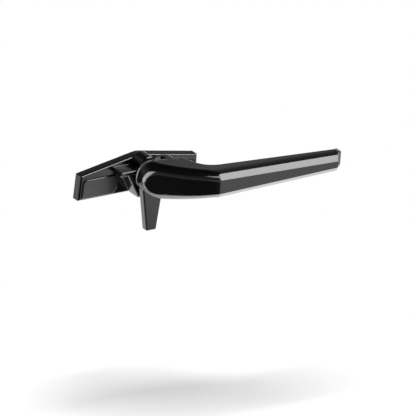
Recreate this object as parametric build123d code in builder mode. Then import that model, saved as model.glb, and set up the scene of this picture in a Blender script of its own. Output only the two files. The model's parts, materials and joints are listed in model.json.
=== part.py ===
from build123d import *
import os
from math import acos, atan2, cos, radians, sin, sqrt, tan

# Window handle: a cam fastener whose lever and tongue turn together on a screwed base.
# Origin: midway between the fixing holes, on the mounting face. X runs along the base, Z is up and
# the room is at -Y. Every depth is measured from the mounting face towards the room, and every
# height from the pivot axis. Lengths are in millimetres.

# Base plate: a drafted, gabled bar with a pedestal cast on its middle
plate_length = 80.0
plate_thickness = 5.4
plate_below_pivot = 13.6
plate_end_height = 15.0
plate_end_draft = 2.6
plate_gable_slope = 10.3
plate_corner_radius = 1.2
plate_edge_radius = 1.0
plate_gable_radius = 12.0
plate_rim_width = 2.2
back_relief_depth = 0.8

# Pedestal: tapered stem, two stop ledges and a round crest
pedestal_depth = 14.7
pedestal_edge_bevel = 0.5
stem_foot_width = 11.0
stem_flare = 29.0
ledge_length = 37.6
ledge_top = 3.5
ledge_thickness = 2.8
crest_width = 10.8
crest_top = 10.4
collar_radius = 7.4
collar_height = 1.0

# Fixing holes and their covers
fixing_spacing = 52.0
fixing_hole_radius = 2.4
fixing_head_radius = 4.5
fixing_boss_radius = 5.5
pivot_height = 7.0
cap_inner_reach = 14.3
cap_end_margin = 1.8
cap_height = 11.4
cap_recess_depth = 2.4
cap_proud = 0.6
cap_wall = 1.1
cap_gap = 0.1
cap_edge_bevel = 0.4
cap_round_corner = 2.5
cap_sweep_corner = 4.5
cap_small_corner = 1.2

# Pivot
post_radius = 4.0
post_end_depth = 4.2
running_clearance = 0.04
press_clearance = 0.02
bush_wall = 0.96
bush_length = 10.2
bush_flange_thickness = 1.3
bush_flange_radius = 9.2
bush_edge_bevel = 0.4
thrust_gap = 0.1
rear_pocket_radius = 6.0
rear_pocket_depth = 5.6

# Rear fastening: disc spring, washer and screw
washer_radius = 5.6
washer_thickness = 1.0
spring_thickness = 0.5
spring_gap = 0.1
spring_seat_gap = 0.05
spring_rim_gap = 0.3
screw_radius = 2.5
screw_thread_gap = 0.1
screw_length = 13.0
screw_head_radius = 4.2
screw_head_height = 2.6
screw_head_bevel = 0.8
screw_socket_width = 3.0
screw_socket_depth = 1.5
screw_hole_spare = 1.5

# Cam tongue
tongue_thickness = 4.6
tongue_head_radius = 6.1
tongue_shoulder = 5.8
tongue_root_left = 7.6
tongue_root_right = 6.15
tongue_tip_left = 2.9
tongue_tip_right = 3.65
tongue_reach = 31.9
tongue_edge_radius = 0.8
tongue_tip_radius = 0.7
tongue_fit = 0.05

# Lever
hub_radius = 9.55
hub_rim_front = 23.5
neck_edge_radius = 3.6
neck_front = 32.5
neck_end = 21.4
neck_corner_radius = 0.8
crease_reach = 27.3
crease_height = 14.3
arm_front = 47.3
arm_depth = 15.5
arm_back_slope = 3.35
lever_reach = 113.4
arm_tip_height = 9.6
tip_taper_run = 3.0
tip_taper_radius = 6.0
tip_end_height = 8.8
tip_turn_run = 6.6
tip_turn_radius = 11.6
tip_turn_drop = 7.3
tip_lip_run = 3.0
tip_lip_rise = 1.86
tip_lip_radius = 1.0
tip_lip_blend = 2.0
bevel_width = 3.0
bevel_depth = 2.5
back_edge_bevel = 0.6
waist_radius = 30.0

# Stop lug on the back of the lever
lug_inner_reach = 10.1
lug_width = 4.5
lug_back_depth = 11.1
lug_crest_gap = 0.5
stop_gap = 0.1

# Working planes: one facing the room and one level, both on the pivot axis, and one across the crease
pivot_plane = Plane(origin=(0, 0, pivot_height), x_dir=(1, 0, 0), z_dir=(0, -1, 0))
plan_plane = Plane.XY.offset(pivot_height)
crease_plane = Plane.YZ.offset(crease_reach)

# Values that follow from the sizes above
plate_bottom = -plate_below_pivot
plate_end_top = plate_bottom + plate_end_height
foot_half_length = plate_length / 2
end_slope = tan(radians(plate_end_draft))
end_half_length = foot_half_length - plate_end_height * end_slope
gable_top = plate_end_top + end_half_length * tan(radians(plate_gable_slope))
collar_front = pedestal_depth + collar_height
hub_back = collar_front + bush_flange_thickness + thrust_gap
bore_radius = post_radius + running_clearance + bush_wall + press_clearance
recess_floor = plate_thickness - cap_recess_depth
tongue_front = hub_back + tongue_thickness
stem_top = ledge_top - ledge_thickness / 2
stem_top_width = stem_foot_width + 2 * (stem_top - plate_bottom) * tan(radians(stem_flare))
relief_low = plate_bottom + plate_rim_width
relief_high = plate_end_top - plate_rim_width
relief_inner = rear_pocket_radius + 2 * plate_rim_width
relief_outer = end_half_length - plate_rim_width
spring_inner = post_radius + spring_rim_gap
spring_outer = rear_pocket_radius - spring_rim_gap
spring_low = post_end_depth + spring_gap
spring_high = rear_pocket_depth - spring_seat_gap
outside = hub_radius + 2 * plate_rim_width
arm_slope = tan(radians(arm_back_slope))
arm_back_at_crease = arm_front - arm_depth
neck_back_rise = arm_back_at_crease - (crease_reach - neck_end) * arm_slope - hub_back
neck_back_radius = neck_back_rise / (sqrt(1 + arm_slope**2) - arm_slope)
arm_middle = (crease_reach + lever_reach) / 2
arm_back_middle = arm_back_at_crease + (arm_middle - crease_reach) * arm_slope
lip_start = arm_back_at_crease + (lever_reach - tip_lip_run - crease_reach) * arm_slope
tip_lip_back = lip_start - tip_lip_rise
tip_turn_reach = lever_reach - tip_turn_run
tip_side_front = arm_front - tip_turn_drop
crease_distance = sqrt(crease_reach**2 + (crease_height / 2) ** 2)
tangent_angle = atan2(crease_height / 2, crease_reach) + acos(hub_radius / crease_distance)
tangent_x = hub_radius * cos(tangent_angle)
tangent_z = hub_radius * sin(tangent_angle)
neck_fall = (tangent_z - crease_height / 2) / (crease_reach - tangent_x)
lug_outer_reach = lug_inner_reach + lug_width
lug_inner_top = tangent_z - (lug_inner_reach - tangent_x) * neck_fall
lug_outer_top = tangent_z - (lug_outer_reach - tangent_x) * neck_fall
head_back = post_end_depth - washer_thickness - screw_head_height


def cap_outline(side, growth):
    """Outline of one screw cap, seen from the room: side is -1 on the left and 1 on the right."""
    low = -pivot_height - cap_height / 2 - growth
    high = -pivot_height + cap_height / 2 + growth
    inner = side * (cap_inner_reach - growth)
    end = foot_half_length - cap_end_margin + growth
    outer_low = side * (end - (low - plate_bottom) * end_slope)
    outer_high = side * (end - (high - plate_bottom) * end_slope)
    corners = [(outer_low, low), (inner, low), (inner, high), (outer_high, high)]
    radii = [cap_small_corner, cap_sweep_corner, cap_round_corner, cap_round_corner]
    with BuildSketch(mode=Mode.PRIVATE) as outline:
        with BuildLine():
            FilletPolyline(*corners, radius=[radius + growth for radius in radii], close=True)
        make_face()
    return outline.sketch


def tongue_outline(growth):
    """Outline of the tongue: round head, shoulders and tapered finger pointing down."""
    head = tongue_head_radius + growth
    root_left = -tongue_root_left - growth
    root_right = tongue_root_right + growth
    tip_left = -tongue_tip_left - growth
    tip_right = tongue_tip_right + growth
    shoulder = -tongue_shoulder + growth
    end = -tongue_reach - growth
    with BuildSketch(mode=Mode.PRIVATE) as outline:
        Circle(head)
        with BuildLine():
            Polyline(
                (-head, 0), (-head, shoulder), (root_left, shoulder), (tip_left, end),
                (tip_right, end), (root_right, shoulder), (head, 0), close=True,
            )
        make_face()
    return outline.sketch


# Base plate with its pedestal, fixing holes, pivot bore and rear pocket: one zinc casting
with BuildPart() as base_plate:
    with BuildSketch(pivot_plane) as plate_outline:
        with BuildLine():
            Polyline(
                (-foot_half_length, plate_bottom), (foot_half_length, plate_bottom),
                (end_half_length, plate_end_top), (0, gable_top),
                (-end_half_length, plate_end_top), close=True,
            )
        make_face()
        gable_corner = plate_outline.vertices().group_by(Axis.Y)[-1]
        end_corners = plate_outline.vertices() - gable_corner
        fillet(gable_corner, plate_gable_radius)
        fillet(end_corners, plate_corner_radius)
    extrude(amount=plate_thickness)
    fillet(base_plate.faces().sort_by(Axis.Y)[0].edges(), plate_edge_radius)

    # Pedestal: stem, ledges and crest share one outline
    with BuildSketch(pivot_plane.offset(plate_thickness)):
        with BuildLine():
            Polyline(
                (-stem_foot_width / 2, plate_bottom), (stem_foot_width / 2, plate_bottom),
                (stem_top_width / 2, stem_top), (-stem_top_width / 2, stem_top), close=True,
            )
        make_face()
        with Locations((0, ledge_top - ledge_thickness / 2)):
            SlotOverall(ledge_length, ledge_thickness)
        with Locations((0, crest_top - crest_width / 2)):
            Circle(crest_width / 2)
        with Locations((0, ledge_top)):
            Rectangle(crest_width, crest_top - crest_width / 2 - ledge_top, align=(Align.CENTER, Align.MIN))
    extrude(amount=pedestal_depth - plate_thickness)
    pedestal_front = base_plate.faces().filter_by(Axis.Y).sort_by(Axis.Y)[0]
    chamfer(pedestal_front.edges(), pedestal_edge_bevel)
    with BuildSketch(pivot_plane.offset(pedestal_depth)):
        Circle(collar_radius)
    extrude(amount=collar_height)

    # Pivot bore and the pocket behind it for the spring, washer and screw head
    with BuildSketch(pivot_plane):
        Circle(bore_radius)
    extrude(amount=collar_front, mode=Mode.SUBTRACT)
    with BuildSketch(pivot_plane):
        Circle(rear_pocket_radius)
    extrude(amount=rear_pocket_depth, mode=Mode.SUBTRACT)

    # Cover recesses with a countersunk fixing hole in each
    with BuildSketch(pivot_plane.offset(recess_floor)):
        for side in (-1, 1):
            add(cap_outline(side, cap_gap))
    extrude(amount=cap_recess_depth, mode=Mode.SUBTRACT)
    floor_plane = pivot_plane.offset(recess_floor)
    with Locations(*[floor_plane * Pos(side * fixing_spacing / 2, -pivot_height) for side in (-1, 1)]):
        CounterSinkHole(fixing_hole_radius, fixing_head_radius)

    # Relieved back: a rim and a boss round each hole bear on the frame
    with BuildSketch(pivot_plane) as relief:
        with BuildLine():
            Polyline(
                (relief_inner, relief_low), (relief_outer, relief_low),
                (relief_outer, relief_high), (relief_inner, relief_high), close=True,
            )
        make_face()
        mirror(about=Plane.YZ)
        fillet(relief.vertices(), plate_corner_radius)
        with GridLocations(fixing_spacing, 0, 2, 1):
            with Locations((0, -pivot_height)):
                Circle(fixing_boss_radius, mode=Mode.SUBTRACT)
    extrude(amount=back_relief_depth, mode=Mode.SUBTRACT)

# Screw covers: moulded shells pressed into the recesses, standing a little proud
caps = {}
for side, name in ((-1, "left_screw_cover"), (1, "right_screw_cover")):
    with BuildPart() as cap:
        with BuildSketch(pivot_plane.offset(recess_floor)):
            add(cap_outline(side, 0))
        extrude(amount=cap_recess_depth + cap_proud)
        chamfer(cap.faces().sort_by(Axis.Y)[0].edges(), cap_edge_bevel)
        with BuildSketch(pivot_plane.offset(recess_floor)):
            add(cap_outline(side, -cap_wall))
        extrude(amount=cap_recess_depth + cap_proud - cap_wall, mode=Mode.SUBTRACT)
    caps[name] = cap

# Pivot bush: a flanged plastic sleeve pressed into the base, its flange carries the lever
with BuildPart() as pivot_bush:
    with BuildSketch(pivot_plane.offset(collar_front)):
        Circle(bush_flange_radius)
    extrude(amount=bush_flange_thickness)
    chamfer(pivot_bush.faces().sort_by(Axis.Y)[0].edges(), bush_edge_bevel)
    with BuildSketch(pivot_plane.offset(collar_front - bush_length + bush_flange_thickness)):
        Circle(bore_radius - press_clearance)
    extrude(amount=bush_length - bush_flange_thickness)
    with BuildSketch(pivot_plane):
        Circle(post_radius + running_clearance)
    extrude(amount=hub_back, mode=Mode.SUBTRACT)

# Disc spring: a dished ring between the pocket floor and the washer
with BuildPart() as disc_spring:
    with BuildSketch(plan_plane):
        with BuildLine():
            Polyline(
                (spring_inner, -spring_low), (spring_outer, -(spring_high - spring_thickness)),
                (spring_outer, -spring_high), (spring_inner, -(spring_low + spring_thickness)),
                close=True,
            )
        make_face()
    revolve(axis=Axis((0, 0, pivot_height), (0, 1, 0)))

# Lever blank: hub, neck and arm in plan, cut to their height in the front view
with BuildPart() as lever_blank:
    with BuildSketch(plan_plane) as plan:
        with BuildLine():
            rim = Polyline(
                (-hub_radius, -hub_rim_front), (-outside, -hub_rim_front), (-outside, -hub_back),
                (neck_end, -hub_back),
            )
            neck_back = JernArc(rim @ 1, (0, -1), neck_back_radius, 90 - arm_back_slope)
            Polyline(
                neck_back @ 1, (lever_reach - tip_lip_run, -lip_start), (lever_reach, -tip_lip_back),
                (lever_reach, -arm_front), (crease_reach, -arm_front),
            )
            ThreePointArc((crease_reach, -arm_front), (0, -neck_front), (-hub_radius, -hub_rim_front))
        make_face()
        fillet(plan.vertices().sort_by_distance((neck_end, -hub_back))[0], neck_corner_radius)
        fillet(plan.vertices().sort_by_distance((lever_reach, -tip_lip_back))[0], tip_lip_radius)
        lip_root = plan.vertices().sort_by_distance((lever_reach - tip_lip_run, -lip_start))[0]
        fillet(lip_root, tip_lip_blend)
    extrude(amount=hub_radius, both=True)
    with BuildSketch(pivot_plane) as front:
        Circle(hub_radius)
        with BuildLine():
            Polyline(
                (tangent_x, -tangent_z), (crease_reach, -crease_height / 2),
                (lever_reach - tip_taper_run, -arm_tip_height / 2), (lever_reach, -tip_end_height / 2),
                (lever_reach, tip_end_height / 2), (lever_reach - tip_taper_run, arm_tip_height / 2),
                (crease_reach, crease_height / 2), (tangent_x, tangent_z), close=True,
            )
        make_face()
        fillet(front.vertices().sort_by_distance((crease_reach, 0))[:2], waist_radius)
        fillet(front.vertices().sort_by_distance((lever_reach - tip_taper_run, 0))[:2], tip_taper_radius)
    extrude(amount=arm_front + outside, mode=Mode.INTERSECT)

# Arm: the blank beyond the crease, with a bevel along both front edges
with BuildPart() as lever_arm:
    add(lever_blank.part)
    split(bisect_by=crease_plane, keep=Keep.TOP)
    arm_face = lever_arm.faces().filter_by(Axis.Y).sort_by(Axis.Y)[0]
    front_edges = arm_face.edges().filter_by(Axis.Z, reverse=True)
    chamfer(front_edges, bevel_width, bevel_depth, reference=arm_face)

# Lever: one casting of rounded hub and neck, bevelled arm, stop lug and pivot post
with BuildPart() as lever_handle:
    add(lever_blank.part)
    split(bisect_by=crease_plane, keep=Keep.BOTTOM)
    neck_face = lever_handle.faces().sort_by_distance((0, -neck_front, pivot_height))[0]
    fillet(neck_face.edges().filter_by(Axis.Z, reverse=True), neck_edge_radius)
    add(lever_arm.part)

    # The tip is turned off, and the back edges are softened
    with BuildSketch(plan_plane):
        with BuildLine():
            RadiusArc((tip_turn_reach, -arm_front), (lever_reach, -tip_side_front), tip_turn_radius)
            Polyline(
                (lever_reach, -tip_side_front), (lever_reach + outside, -tip_side_front),
                (lever_reach + outside, -arm_front - outside), (tip_turn_reach, -arm_front - outside),
                (tip_turn_reach, -arm_front),
            )
        make_face()
    extrude(amount=hub_radius, both=True, mode=Mode.SUBTRACT)
    arm_back = lever_handle.faces().sort_by_distance((arm_middle, -arm_back_middle, pivot_height))[0]
    chamfer(arm_back.edges().filter_by(Axis.Z, reverse=True), back_edge_bevel)

    # Stop lug, resting just above the right ledge
    with BuildSketch(pivot_plane.offset(lug_back_depth)):
        with BuildLine():
            Polyline(
                (lug_inner_reach, ledge_top + stop_gap), (lug_outer_reach, ledge_top + stop_gap),
                (lug_outer_reach, lug_outer_top), (lug_inner_reach, lug_inner_top), close=True,
            )
        make_face()
        Circle(crest_top + lug_crest_gap, mode=Mode.SUBTRACT)
    extrude(amount=hub_back + back_edge_bevel - lug_back_depth)

    # Pocket for the tongue, the pivot post through it, and the tapped hole in the post
    with BuildSketch(pivot_plane.offset(hub_back)):
        add(tongue_outline(tongue_fit))
    extrude(amount=tongue_thickness + tongue_fit, mode=Mode.SUBTRACT)
    with BuildSketch(pivot_plane.offset(post_end_depth)):
        Circle(post_radius)
    extrude(amount=tongue_front + tongue_fit - post_end_depth)
    with BuildSketch(pivot_plane.offset(post_end_depth)):
        Circle(screw_radius)
    extrude(amount=screw_length + screw_hole_spare, mode=Mode.SUBTRACT)

# Tongue: a tapered finger with a round head, seated in the back of the hub
with BuildPart() as cam_tongue:
    with BuildSketch(pivot_plane.offset(hub_back)):
        add(tongue_outline(0))
        Circle(post_radius + tongue_fit, mode=Mode.SUBTRACT)
    extrude(amount=tongue_thickness)
    tip_corners = cam_tongue.edges().filter_by(Axis.Y).group_by(Axis.Z)[0]
    fillet(tip_corners, tongue_tip_radius)
    finger_sides = cam_tongue.edges().filter_by(GeomType.LINE).group_by(SortBy.LENGTH)[-1]
    fillet(finger_sides, tongue_edge_radius)

# Washer and screw that hold the lever to the base from behind
with BuildPart() as retaining_washer:
    with BuildSketch(pivot_plane.offset(post_end_depth - washer_thickness)):
        Circle(washer_radius)
        Circle(screw_radius + screw_thread_gap, mode=Mode.SUBTRACT)
    extrude(amount=washer_thickness)

with BuildPart() as retaining_screw:
    with BuildSketch(pivot_plane.offset(head_back)):
        Circle(screw_head_radius)
    extrude(amount=screw_head_height)
    chamfer(retaining_screw.faces().sort_by(Axis.Y)[-1].edges(), screw_head_bevel)
    with BuildSketch(pivot_plane.offset(head_back)):
        Circle(screw_radius - screw_thread_gap)
    extrude(amount=screw_head_height + screw_length)
    with BuildSketch(pivot_plane.offset(head_back)):
        RegularPolygon(screw_socket_width / 2, 6, major_radius=False)
    extrude(amount=screw_socket_depth, mode=Mode.SUBTRACT)

base_plate.part.label = "base_plate"
pivot_bush.part.label = "pivot_bush"
cam_tongue.part.label = "cam_tongue"
retaining_washer.part.label = "retaining_washer"
retaining_screw.part.label = "retaining_screw"
disc_spring.part.label = "disc_spring"
lever_handle.part.label = "lever_handle"
for name, cap in caps.items():
    cap.part.label = name

os.makedirs("parts", exist_ok=True)
export_step(base_plate.part, "parts/base_plate.step")
export_step(pivot_bush.part, "parts/pivot_bush.step")
export_step(cam_tongue.part, "parts/cam_tongue.step")
export_step(retaining_washer.part, "parts/retaining_washer.step")
export_step(retaining_screw.part, "parts/retaining_screw.step")
export_step(disc_spring.part, "parts/disc_spring.step")
export_step(lever_handle.part, "parts/lever_handle.step")
for name, cap in caps.items():
    export_step(cap.part, f"parts/{name}.step")
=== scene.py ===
import json
import math
import bpy
from mathutils import Matrix, Vector


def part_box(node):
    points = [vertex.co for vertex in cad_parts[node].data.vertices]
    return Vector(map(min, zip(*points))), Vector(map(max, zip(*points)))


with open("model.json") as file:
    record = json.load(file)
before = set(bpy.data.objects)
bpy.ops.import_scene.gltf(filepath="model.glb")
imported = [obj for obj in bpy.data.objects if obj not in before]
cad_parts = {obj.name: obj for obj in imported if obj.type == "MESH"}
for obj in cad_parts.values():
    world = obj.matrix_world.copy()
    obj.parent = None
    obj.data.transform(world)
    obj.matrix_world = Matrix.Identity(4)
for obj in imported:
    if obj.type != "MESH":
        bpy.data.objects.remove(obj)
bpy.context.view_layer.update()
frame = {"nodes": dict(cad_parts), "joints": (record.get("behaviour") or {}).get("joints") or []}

# Base plate: the gabled bar and its pedestal, one zinc die casting.
# It is shot blasted and powder coated satin black, which leaves a faint orange peel
# and lets the edges shine through a little where hands and screwdrivers rub.
coat_black = ((0.0012, 0.0012, 0.0013, 1), (0.0022, 0.0022, 0.0024, 1))
rubbed_gray = (0.010, 0.010, 0.010, 1)
base_gloss = (0.13, 0.19)
coat_peel = 0.05
base_edge = 0.0007
peel_grain = 900.0
peel_depth = 0.00004
handling_grain = 55.0


def satin_finish(name, colours, gloss, peel, edge, edge_samples=12):
    """A satin skin with a fine peel, a gloss that varies with handling, and rubbed edges."""
    finish = bpy.data.materials.new(name)
    finish.use_nodes = True
    nodes = finish.node_tree.nodes
    links = finish.node_tree.links
    shader = nodes["Principled BSDF"]
    shader.inputs["IOR"].default_value = 1.5
    place = nodes.new("ShaderNodeTexCoord")
    soft_edge = nodes.new("ShaderNodeBevel")
    soft_edge.samples = edge_samples
    soft_edge.inputs["Radius"].default_value = edge
    orange_peel = nodes.new("ShaderNodeTexNoise")
    orange_peel.inputs["Scale"].default_value = peel_grain
    orange_peel.inputs["Detail"].default_value = 2.0
    links.new(place.outputs["Object"], orange_peel.inputs["Vector"])
    peel_bump = nodes.new("ShaderNodeBump")
    peel_bump.inputs["Strength"].default_value = peel
    peel_bump.inputs["Distance"].default_value = peel_depth
    links.new(orange_peel.outputs["Fac"], peel_bump.inputs["Height"])
    links.new(soft_edge.outputs["Normal"], peel_bump.inputs["Normal"])
    links.new(peel_bump.outputs["Normal"], shader.inputs["Normal"])
    handling = nodes.new("ShaderNodeTexNoise")
    handling.inputs["Scale"].default_value = handling_grain
    handling.inputs["Detail"].default_value = 5.0
    links.new(place.outputs["Object"], handling.inputs["Vector"])
    handled = nodes.new("ShaderNodeMapRange")
    handled.inputs["From Min"].default_value = 0.3
    handled.inputs["From Max"].default_value = 0.7
    handled.inputs["To Min"].default_value = gloss[0]
    handled.inputs["To Max"].default_value = gloss[1]
    links.new(handling.outputs["Fac"], handled.inputs["Value"])
    links.new(handled.outputs["Result"], shader.inputs["Roughness"])
    flat_face = nodes.new("ShaderNodeNewGeometry")
    edge_turn = nodes.new("ShaderNodeVectorMath")
    edge_turn.operation = "DOT_PRODUCT"
    links.new(soft_edge.outputs["Normal"], edge_turn.inputs[0])
    links.new(flat_face.outputs["Normal"], edge_turn.inputs[1])
    at_edge = nodes.new("ShaderNodeMapRange")
    at_edge.inputs["From Min"].default_value = 0.97
    at_edge.inputs["From Max"].default_value = 0.80
    links.new(edge_turn.outputs["Value"], at_edge.inputs["Value"])
    rubbed = nodes.new("ShaderNodeMath")
    rubbed.operation = "MULTIPLY"
    links.new(at_edge.outputs["Result"], rubbed.inputs[0])
    links.new(handling.outputs["Fac"], rubbed.inputs[1])
    pigment = nodes.new("ShaderNodeMix")
    pigment.data_type = "RGBA"
    pigment.inputs["A"].default_value = colours[0]
    pigment.inputs["B"].default_value = colours[1]
    links.new(orange_peel.outputs["Fac"], pigment.inputs["Factor"])
    skin = nodes.new("ShaderNodeMix")
    skin.data_type = "RGBA"
    skin.inputs["B"].default_value = rubbed_gray
    links.new(rubbed.outputs["Value"], skin.inputs["Factor"])
    links.new(pigment.outputs["Result"], skin.inputs["A"])
    links.new(skin.outputs["Result"], shader.inputs["Base Color"])
    return finish


def dress(piece, finish):
    """Give a CAD piece its finish in place of the plain one it came with."""
    slots = frame["nodes"][piece].data.materials
    slots.clear()
    slots.append(finish)


base_coat = satin_finish("base_powder_coat", coat_black, base_gloss, coat_peel, base_edge)
dress("base_plate", base_coat)

# Pivot bush: a flanged sleeve pressed into the casting, its flange the ring
# that shows between the pedestal and the hub.
# It is moulded in dark gray acetal, which is slightly waxy.
bush_gray = ((0.045, 0.045, 0.047, 1), (0.060, 0.060, 0.062, 1))
bush_gloss = (0.16, 0.24)
bush_edge = 0.0009
bush_acetal = satin_finish(
    "bush_acetal", bush_gray, bush_gloss, coat_peel, bush_edge, edge_samples=16
)
dress("pivot_bush", bush_acetal)

# Lever: hub, cranked neck and bevelled grip, a second zinc casting, its post in the bush.
# It is polished before it is coated, because it is held, so its black is smoother.
# Top and underside are crowned a little towards the front, and the tip's end is rounded.
lever_gloss = (0.09, 0.13)
lever_peel = 0.02
lever_low, lever_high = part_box("lever_handle")
arm_front = lever_low.y
tip_end = lever_high.x
arm_edge = 0.0003


def feed(finish, socket, value):
    """Link a node's input to another node's output, or set it to a plain value."""
    if isinstance(value, bpy.types.NodeSocket):
        finish.node_tree.links.new(value, socket)
    else:
        socket.default_value = value


def finish_sum(finish, operation, first, second=0.0):
    """A sum on one or two numbers that vary over a surface."""
    node = finish.node_tree.nodes.new("ShaderNodeMath")
    node.operation = operation
    feed(finish, node.inputs[0], first)
    feed(finish, node.inputs[1], second)
    return node.outputs["Value"]


def finish_way(finish, operation, first, second=(0, 0, 0)):
    """The same on places and directions. A length or distance comes back as a number."""
    node = finish.node_tree.nodes.new("ShaderNodeVectorMath")
    node.operation = operation
    feed(finish, node.inputs[0], first)
    feed(finish, node.inputs[1], second)
    return node.outputs["Value" if operation in ("LENGTH", "DISTANCE") else "Vector"]


def finish_fade(finish, value, band, ends=(0.0, 1.0), smooth=False):
    """A number that goes from the first of the ends to the second across a band of values."""
    node = finish.node_tree.nodes.new("ShaderNodeMapRange")
    node.interpolation_type = "SMOOTHSTEP" if smooth else "LINEAR"
    node.inputs["From Min"].default_value = band[0]
    node.inputs["From Max"].default_value = band[1]
    node.inputs["To Min"].default_value = ends[0]
    node.inputs["To Max"].default_value = ends[1]
    feed(finish, node.inputs["Value"], value)
    return node.outputs["Result"]


def finish_mix(finish, kind, share, first, second):
    """A number, direction or colour between two others, by a share from 0 to 1."""
    node = finish.node_tree.nodes.new("ShaderNodeMix")
    node.data_type = kind
    feed(finish, node.inputs["Factor"], share)
    feed(finish, node.inputs["A"], first)
    feed(finish, node.inputs["B"], second)
    return node.outputs["Result"]


def finish_turn(finish, way, kind, start, end):
    """A direction carried from the room to the piece itself or back, so that it turns with it."""
    node = finish.node_tree.nodes.new("ShaderNodeVectorTransform")
    node.vector_type = kind
    node.convert_from = start
    node.convert_to = end
    feed(finish, node.inputs["Vector"], way)
    return node.outputs["Vector"]


def finish_split(finish, way):
    """The X, Y and Z of a place or direction."""
    node = finish.node_tree.nodes.new("ShaderNodeSeparateXYZ")
    feed(finish, node.inputs["Vector"], way)
    return node.outputs


lever_coat = satin_finish("lever_powder_coat", coat_black, lever_gloss, lever_peel, arm_edge)
lever_nodes = lever_coat.node_tree.nodes
lever_place = lever_nodes["Texture Coordinate"].outputs["Object"]
lever_split = finish_split(lever_coat, lever_place)
reach = lever_split["X"]

# Its edges are rounded widely on the hub, finely on the arm, and softly at crease and tip.
crease = 0.0268
crease_band = (0.0005, 0.0030)
crease_edge = 0.0009
hub_band = (0.006, 0.026)
hub_edge = 0.0030
neck_edge = 0.0010
neck_end = 0.0272
tip_band = (tip_end - 0.0059, tip_end - 0.0024)
tip_edge = 0.0022
past_crease = finish_sum(lever_coat, "SUBTRACT", reach, crease)
off_crease = finish_sum(lever_coat, "ABSOLUTE", past_crease)
crease_round = finish_fade(lever_coat, off_crease, crease_band, (crease_edge, arm_edge))
hub_round = finish_fade(lever_coat, reach, hub_band, (hub_edge, neck_edge))
on_neck = finish_sum(lever_coat, "LESS_THAN", reach, neck_end)
neck_round = finish_sum(lever_coat, "MULTIPLY", hub_round, on_neck)
tip_round = finish_fade(lever_coat, reach, tip_band, (0.0, tip_edge))
end_round = finish_sum(lever_coat, "MAXIMUM", neck_round, tip_round)
edge_round = finish_sum(lever_coat, "MAXIMUM", crease_round, end_round)
feed(lever_coat, lever_nodes["Bevel"].inputs["Radius"], edge_round)

# The crown leans the faces outwards near the front, more on the neck than on the arm.
neck_centre = (0.0538, 0.0341, 0)
neck_radius = 0.0856
neck_to_arm = (0.0245, 0.0300)
arm_outward = (0, -1, 0)
crown_band = (0.0045, 0.0108)
neck_crown = 0.42
arm_crown = 0.17
flat_faces = (0.80, 0.96)
in_plan = (1, 1, 0)
neck_way = finish_way(lever_coat, "SUBTRACT", lever_place, neck_centre)
neck_plan = finish_way(lever_coat, "MULTIPLY", neck_way, in_plan)
neck_reach = finish_way(lever_coat, "LENGTH", neck_plan)
neck_inset = finish_sum(lever_coat, "SUBTRACT", neck_radius, neck_reach)
arm_inset = finish_sum(lever_coat, "SUBTRACT", lever_split["Y"], arm_front)
on_arm = finish_fade(lever_coat, reach, neck_to_arm)
front_inset = finish_mix(lever_coat, "FLOAT", on_arm, neck_inset, arm_inset)
neck_outward = finish_way(lever_coat, "NORMALIZE", neck_plan)
outward = finish_mix(lever_coat, "VECTOR", on_arm, neck_outward, arm_outward)
near_front = finish_fade(lever_coat, front_inset, crown_band, (1.0, 0.0), smooth=True)
true_face = lever_nodes["Geometry"].outputs["True Normal"]
own_face = finish_turn(lever_coat, true_face, "NORMAL", "WORLD", "OBJECT")
either_side = finish_sum(lever_coat, "ABSOLUTE", finish_split(lever_coat, own_face)["Z"])
top_or_under = finish_fade(lever_coat, either_side, flat_faces)
most_crown = finish_fade(lever_coat, on_arm, (0.0, 1.0), (neck_crown, arm_crown))
front_crown = finish_sum(lever_coat, "MULTIPLY", near_front, most_crown)
crown = finish_sum(lever_coat, "MULTIPLY", front_crown, top_or_under)
crown_way = finish_way(lever_coat, "MULTIPLY", outward, crown)

# The tip's end is rounded over in the same way, about the middle of its curve.
tip_centre = (tip_end - 0.0111, arm_front + 0.0107, 0)
tip_start = tip_end - 0.0089
tip_ring = (0.0080, 0.0096)
tip_lean = 0.52
tip_way = finish_way(lever_coat, "SUBTRACT", lever_place, tip_centre)
tip_plan = finish_way(lever_coat, "MULTIPLY", tip_way, in_plan)
tip_reach = finish_way(lever_coat, "LENGTH", tip_plan)
tip_over = finish_fade(lever_coat, tip_reach, tip_ring, (0.0, tip_lean), smooth=True)
at_tip = finish_sum(lever_coat, "GREATER_THAN", reach, tip_start)
tip_top = finish_sum(lever_coat, "MULTIPLY", at_tip, top_or_under)
tip_turn = finish_sum(lever_coat, "MULTIPLY", tip_top, tip_over)
tip_outward = finish_way(lever_coat, "NORMALIZE", tip_plan)
tip_push = finish_way(lever_coat, "MULTIPLY", tip_outward, tip_turn)

# Both leans turn with the lever, and lie under the peel.
lever_lean = finish_way(lever_coat, "ADD", crown_way, tip_push)
turned_lean = finish_turn(lever_coat, lever_lean, "VECTOR", "OBJECT", "WORLD")
leaning = finish_way(lever_coat, "ADD", lever_nodes["Bevel"].outputs["Normal"], turned_lean)
crowned = finish_way(lever_coat, "NORMALIZE", leaning)
feed(lever_coat, lever_nodes["Bump"].inputs["Normal"], crowned)
dress("lever_handle", lever_coat)

# Cam tongue: a tapered finger that sits in the back of the hub and pulls the sash shut.
# It is a small zinc casting with crisp edges, coated in the same black as the base.
tongue_edge = 0.0003
tongue_coat = satin_finish("tongue_powder_coat", coat_black, base_gloss, coat_peel, tongue_edge)
dress("cam_tongue", tongue_coat)

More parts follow.
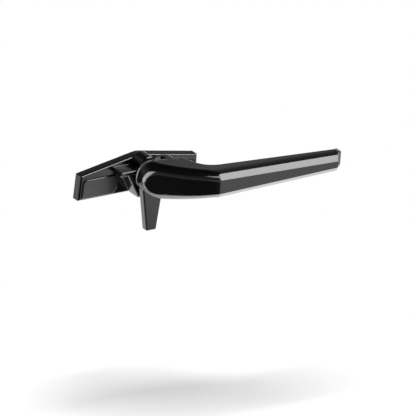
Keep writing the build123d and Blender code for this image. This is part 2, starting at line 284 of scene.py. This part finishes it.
# Disc spring, washer and screw: turned and stamped steel parts, zinc plated.
# They hold the lever in its bush from behind the base, so only the back shows them.
pivot = Vector(frame["joints"][0]["pos_m"])
bright_zinc = (0.66, 0.66, 0.65, 1)
dull_zinc = (0.50, 0.51, 0.53, 1)
zinc_gloss = (0.24, 0.42)
lathe_rings = 900.0
bloom_grain = 420.0
plated_steel = bpy.data.materials.new("zinc_plated_steel")
plated_steel.use_nodes = True
steel_nodes = plated_steel.node_tree.nodes
steel_shader = steel_nodes["Principled BSDF"]
steel_shader.inputs["Metallic"].default_value = 1.0
steel_place = steel_nodes.new("ShaderNodeTexCoord").outputs["Object"]
about_pivot = steel_nodes.new("ShaderNodeMapping")
about_pivot.inputs["Location"].default_value = -pivot
feed(plated_steel, about_pivot.inputs["Vector"], steel_place)
turning = steel_nodes.new("ShaderNodeTexWave")
turning.wave_type = "RINGS"
turning.rings_direction = "Y"
turning.inputs["Scale"].default_value = lathe_rings
turning.inputs["Distortion"].default_value = 1.5
turning.inputs["Detail"].default_value = 2.0
feed(plated_steel, turning.inputs["Vector"], about_pivot.outputs["Vector"])
turned = steel_nodes.new("ShaderNodeBump")
turned.inputs["Strength"].default_value = 0.12
turned.inputs["Distance"].default_value = 0.00003
feed(plated_steel, turned.inputs["Height"], turning.outputs["Fac"])
feed(plated_steel, steel_shader.inputs["Normal"], turned.outputs["Normal"])
bloom = steel_nodes.new("ShaderNodeTexNoise")
bloom.inputs["Scale"].default_value = bloom_grain
bloom.inputs["Detail"].default_value = 4.0
feed(plated_steel, bloom.inputs["Vector"], steel_place)
plating = finish_mix(plated_steel, "RGBA", bloom.outputs["Fac"], dull_zinc, bright_zinc)
feed(plated_steel, steel_shader.inputs["Base Color"], plating)
bloom_dull = finish_fade(plated_steel, bloom.outputs["Fac"], (0.0, 1.0), zinc_gloss)
feed(plated_steel, steel_shader.inputs["Roughness"], bloom_dull)
for fastening in ("disc_spring", "retaining_washer", "retaining_screw"):
    dress(fastening, plated_steel)

# Screw covers: two thin moulded shells pressed into the plate over the fixing screws.
# They are black plastic with a fine spark-eroded grain, duller than the coat,
# and each is crowned a little along its length, about its own fixing hole.
cover_gloss = (0.30, 0.38)
cover_edge = 0.0007
fixing_reach = 0.026
cover_crown = 10.0
cover_plastic = satin_finish("cover_plastic", coat_black, cover_gloss, coat_peel, cover_edge)
cover_nodes = cover_plastic.node_tree.nodes
cover_place = cover_nodes["Texture Coordinate"].outputs["Object"]
cover_across = finish_split(cover_plastic, cover_place)["X"]
left_or_right = finish_sum(cover_plastic, "SIGN", cover_across)
fixing_hole = finish_sum(cover_plastic, "MULTIPLY", left_or_right, fixing_reach)
off_hole = finish_sum(cover_plastic, "SUBTRACT", cover_across, fixing_hole)
sideways = finish_sum(cover_plastic, "MULTIPLY", off_hole, cover_crown)
cover_lean = cover_nodes.new("ShaderNodeCombineXYZ")
feed(cover_plastic, cover_lean.inputs["X"], sideways)
cover_edges = cover_nodes["Bevel"].outputs["Normal"]
cover_leaning = finish_way(cover_plastic, "ADD", cover_edges, cover_lean.outputs["Vector"])
cover_crowned = finish_way(cover_plastic, "NORMALIZE", cover_leaning)
feed(cover_plastic, cover_nodes["Bump"].inputs["Normal"], cover_crowned)
for cover in ("left_screw_cover", "right_screw_cover"):
    dress(cover, cover_plastic)

# Floor: a plain white paper sheet well below the handle, which hovers over its soft shadow.
# Wherever it is seen, also in a reflection, the paper is plain white.
# Only the patch under the handle is left matt, so that the shadow falls there.
floor_height = -0.127
floor_size = 12
paper_gray = (0.72, 0.72, 0.72, 1)
handle_middle = Vector((0.045, -0.025, 0))
shadow_patch = (0.08, 0.17)
patch_white = 0.05
bpy.ops.object.select_all(action="DESELECT")
bpy.ops.mesh.primitive_plane_add(size=floor_size, location=(0, 0, floor_height))
floor = bpy.context.object
floor.name = "floor"
paper = bpy.data.materials.new("white_paper")
paper.use_nodes = True
paper_nodes = paper.node_tree.nodes
paper_nodes.remove(paper_nodes["Principled BSDF"])
matt_paper = paper_nodes.new("ShaderNodeBsdfDiffuse")
matt_paper.inputs["Color"].default_value = paper_gray
plain_white = paper_nodes.new("ShaderNodeEmission")
paper_seen = paper_nodes.new("ShaderNodeLightPath").outputs
seen_or_mirrored = finish_sum(
    paper, "MAXIMUM", paper_seen["Is Camera Ray"], paper_seen["Is Glossy Ray"]
)
any_view = finish_sum(paper, "MAXIMUM", seen_or_mirrored, paper_seen["Is Transmission Ray"])
paper_place = paper_nodes.new("ShaderNodeTexCoord").outputs["Object"]
off_middle = finish_way(paper, "DISTANCE", paper_place, handle_middle)
past_shadow = finish_fade(paper, off_middle, shadow_patch, (patch_white, 1.0), smooth=True)
white_share = finish_sum(paper, "MULTIPLY", any_view, past_shadow)
sheet = paper_nodes.new("ShaderNodeMixShader")
feed(paper, sheet.inputs["Fac"], white_share)
feed(paper, sheet.inputs[1], matt_paper.outputs["BSDF"])
feed(paper, sheet.inputs[2], plain_white.outputs["Emission"])
feed(paper, paper_nodes["Material Output"].inputs["Surface"], sheet.outputs["Shader"])
floor.data.materials.append(paper)

# Dark card: a sheet of black card that lies on the floor in front of the handle.
# The neck's front mirrors it, which gives it the deep black. The camera does not see it.
card_side = 0.80
card_middle = (-0.425, -0.433, floor_height + 0.001)
card_turn = math.radians(-20.7)
card_black = (0.004, 0.004, 0.004, 1)
bpy.ops.object.select_all(action="DESELECT")
bpy.ops.mesh.primitive_plane_add(size=1, location=card_middle)
card = bpy.context.object
card.name = "dark_card"
card.scale = (card_side, card_side, 1)
card.rotation_euler.z = card_turn
black_card = bpy.data.materials.new("black_card")
black_card.use_nodes = True
card_shader = black_card.node_tree.nodes["Principled BSDF"]
card_shader.inputs["Base Color"].default_value = card_black
card_shader.inputs["Specular IOR Level"].default_value = 0.0
card.data.materials.append(black_card)
card.visible_camera = False
card.visible_diffuse = False
card.visible_shadow = False

# Lights: a softbox high at the front right, a tall panel close by at the left,
# a soft top light for the shadow, and light tables on the floor round the handle.
# The bright bands on the black coat are their reflections, so each is set for its pieces.
face_up = (math.pi, 0, 0)
face_down = (0, 0, 0)
above_middle = handle_middle + Vector((0, 0, 0.75))
not_tongue = [piece for piece in frame["nodes"] if piece != "cam_tongue"]


def lit_pieces(name, pieces):
    """A group of pieces that a lamp lights, and no others."""
    group = bpy.data.collections.new(name)
    for piece in pieces:
        group.objects.link(frame["nodes"][piece])
    return group


def studio_lamp(name, place, turn, wide, deep, level, lit):
    """A flat lamp of one brightness, which the camera does not see."""
    bpy.ops.object.light_add(type="AREA", location=place, rotation=turn)
    lamp = bpy.context.object
    lamp.name = name
    lamp.data.shape = "RECTANGLE"
    lamp.data.size = wide
    lamp.data.size_y = deep
    lamp.data.energy = level * math.pi * wide * deep
    lamp.visible_camera = False
    lamp.light_linking.receiver_collection = lit
    return lamp


on_handle = lit_pieces("lit_handle", frame["nodes"])
above_tongue = lit_pieces("lit_above_tongue", not_tongue)
on_lever = lit_pieces("lit_lever", ["lever_handle", "cam_tongue", "pivot_bush"])
on_grip = lit_pieces("lit_grip", ["lever_handle"])
on_tongue = lit_pieces("lit_tongue", ["cam_tongue"])
on_covers = lit_pieces("lit_covers", ["left_screw_cover", "right_screw_cover"])
on_floor = bpy.data.collections.new("lit_floor")
on_floor.objects.link(floor)
bpy.ops.object.select_all(action="DESELECT")
for name, away, wide, tall, level, lit in (
    ("front_softbox", (0.402, -0.4625, 0.514), 0.60, 0.66, 10.5, on_handle),
    ("left_panel", (-0.345, 0.025, 0.05), 0.25, 0.36, 9.0, on_lever),
):
    towards_handle = Vector(away).to_track_quat("Z", "Y").to_euler()
    studio_lamp(name, handle_middle + Vector(away), towards_handle, wide, tall, level, lit)
top_light = studio_lamp("top_light", above_middle, face_down, 0.70, 0.30, 18.947, on_floor)
top_light.data.shape = "ELLIPSE"
top_light.visible_glossy = False
for name, (x, y, lift), wide, deep, level, lit in (
    ("rear_table", (-0.06, 0.20, 0.003), 0.50, 0.36, 0.2, on_handle),
    ("neck_table", (-0.02, -0.12, 0.003), 0.21, 0.10, 6.0, on_grip),
    ("hub_table", (-0.02, -0.025, 0.003), 0.21, 0.09, 3.2, above_tongue),
    ("left_table", (-0.21, -0.015, 0.003), 0.17, 0.10, 6.0, on_grip),
    ("tongue_table", (-0.075, 0.14, 0.006), 0.16, 0.14, 0.75, on_tongue),
    ("cover_table", (0.060, -0.245, 0.006), 0.11, 0.16, 2.5, on_covers),
    ("arm_table", (0.165, -0.02, 0.003), 0.16, 0.09, 2.0, on_handle),
    ("front_table", (0.24, -0.27, 0.003), 0.20, 0.16, 0.5, on_handle),
):
    studio_lamp(name, (x, y, floor_height + lift), face_up, wide, deep, level, lit)

# Room: the gray walls of the studio, which the coat mirrors in soft steps of height,
# with a lighter stretch a third of the way up. The camera sees plain white instead.
wall_foot = (0.05, 0.16)
wall_head = (0.72, 0.0)
wall_steps = ((0.20, 0.12), (0.37, 0.40), (0.56, 0.16))
room = bpy.data.worlds.new("studio")
bpy.context.scene.world = room
room.use_nodes = True
room_nodes = room.node_tree.nodes
room_way = room_nodes.new("ShaderNodeTexCoord").outputs["Generated"]
walls = room_nodes.new("ShaderNodeValToRGB")
wall_grays = walls.color_ramp.elements
for stop, (height, gray) in zip(list(wall_grays), (wall_foot, wall_head)):
    stop.position = height
    stop.color = (gray, gray, gray, 1)
for height, gray in wall_steps:
    wall_grays.new(height).color = (gray, gray, gray, 1)
feed(room, walls.inputs["Fac"], finish_split(room, room_way)["Z"])
room_seen = room_nodes.new("ShaderNodeLightPath").outputs["Is Camera Ray"]
backdrop = finish_mix(room, "RGBA", room_seen, walls.outputs["Color"], (1, 1, 1, 1))
feed(room, room_nodes["Background"].inputs["Color"], backdrop)

# Camera: the photograph's long view from the front left, a little above.
# It is set by the directions of the picture's sides, and centred from the pivot.
view_right = Vector((0.8305, -0.5517, 0.0757))
view_up = Vector((0.1628, 0.3705, 0.9145))
view_back = view_right.cross(view_up)
view_width = 0.23376
view_distance = 1.2
right_of_pivot = 0.04168
below_pivot = 0.02460
view_middle = pivot + view_right * right_of_pivot - view_up * below_pivot
view_turn = Matrix((view_right, view_up, view_back)).transposed().to_4x4()
lens = bpy.data.cameras.new("camera")
lens.type = "ORTHO"
lens.ortho_scale = view_width
camera = bpy.data.objects.new("camera", lens)
bpy.context.scene.collection.objects.link(camera)
camera.matrix_world = Matrix.Translation(view_middle + view_back * view_distance) @ view_turn
bpy.context.scene.camera = camera
bpy.context.scene.view_settings.view_transform = "Standard"
